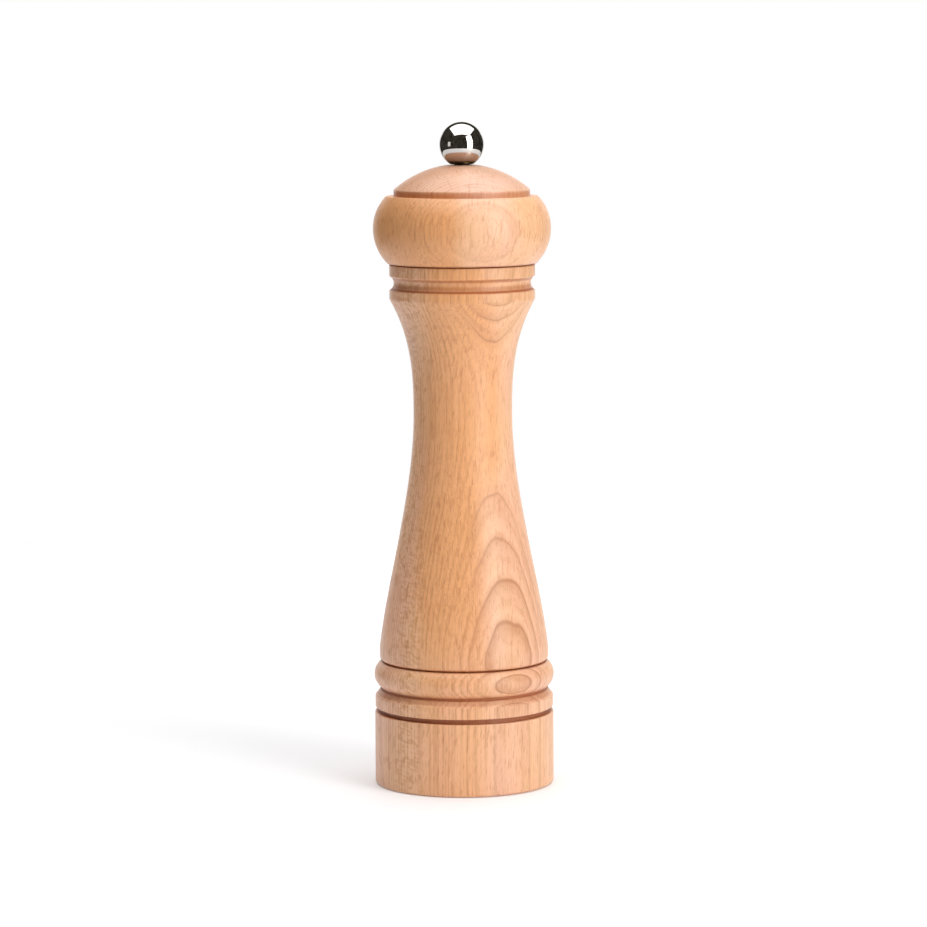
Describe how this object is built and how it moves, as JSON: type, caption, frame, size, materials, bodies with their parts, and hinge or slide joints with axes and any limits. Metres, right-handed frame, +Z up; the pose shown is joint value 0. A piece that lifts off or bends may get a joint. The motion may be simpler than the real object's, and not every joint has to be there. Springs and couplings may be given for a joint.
{
  "type": "pepper mill",
  "caption": "Hand-turned pepper mill with a waisted wooden body, a mushroom head and a ball adjusting knob over a steel grinding mechanism.",
  "frame": {"origin": "centre of the base's bottom face", "axes": "+Z up along the mill's axis, front towards -Y, right towards +X"},
  "size_m": [0.056, 0.056, 0.2058],
  "materials": {
    "beech_body": "satin lacquered beech",
    "beech_head": "satin lacquered beech",
    "polished_steel": "mirror polished",
    "zinc_plated_steel": "bright zinc plate",
    "hardened_steel": "hardened and oiled",
    "aluminium": "drawn",
    "spring_steel": "drawn wire",
    "brass": "turned"
  },
  "bodies": {
    "mill_body": {"body": "beech_body", "stator": "hardened_steel", "bridge": "zinc_plated_steel", "retaining_plate": "zinc_plated_steel", "retaining_screw_1": "zinc_plated_steel", "retaining_screw_2": "zinc_plated_steel", "retaining_screw_3": "zinc_plated_steel"},
    "spring_set": {"spring_washer": "zinc_plated_steel", "spring": "spring_steel"},
    "spindle": {"shaft": "aluminium", "rotor": "hardened_steel", "rotor_washer": "zinc_plated_steel", "rotor_nut": "zinc_plated_steel"},
    "grip": {"head": "beech_head", "head_bush": "brass", "drive_plate": "zinc_plated_steel", "drive_plate_screw_1": "zinc_plated_steel", "drive_plate_screw_2": "zinc_plated_steel"},
    "knob_seat": {"knob_washer": "zinc_plated_steel"},
    "knob": {"adjusting_knob": "polished_steel"}
  },
  "joints": [
    {"name": "grind_turn", "type": "hinge", "parent": "mill_body", "child": "spring_set", "pos_m": [0, 0, 0.0418], "axis": [0, 0, 1], "continuous": true},
    {"name": "grind_adjust", "type": "slide", "parent": "spring_set", "child": "spindle", "axis": [0, 0, 1], "range_m": [0, 0.0016], "stiffness_N_per_m": 1000, "springref_m": -0.004, "deforming": ["spring"]},
    {"name": "head_lift", "type": "slide", "parent": "spring_set", "child": "grip", "axis": [0, 0, 1], "range_m": [0, 0.065]},
    {"name": "knob_lift", "type": "slide", "parent": "grip", "child": "knob_seat", "axis": [0, 0, 1], "range_m": [0, 0.016]},
    {"name": "knob_turn", "type": "hinge", "parent": "knob_seat", "child": "knob", "pos_m": [0, 0, 0.199], "axis": [0, 0, -1], "range_deg": [0, 720]}
  ],
  "couplings": [
    {"joint": "knob_turn", "follows": "grind_adjust", "rad_per_m": 7854}
  ]
}
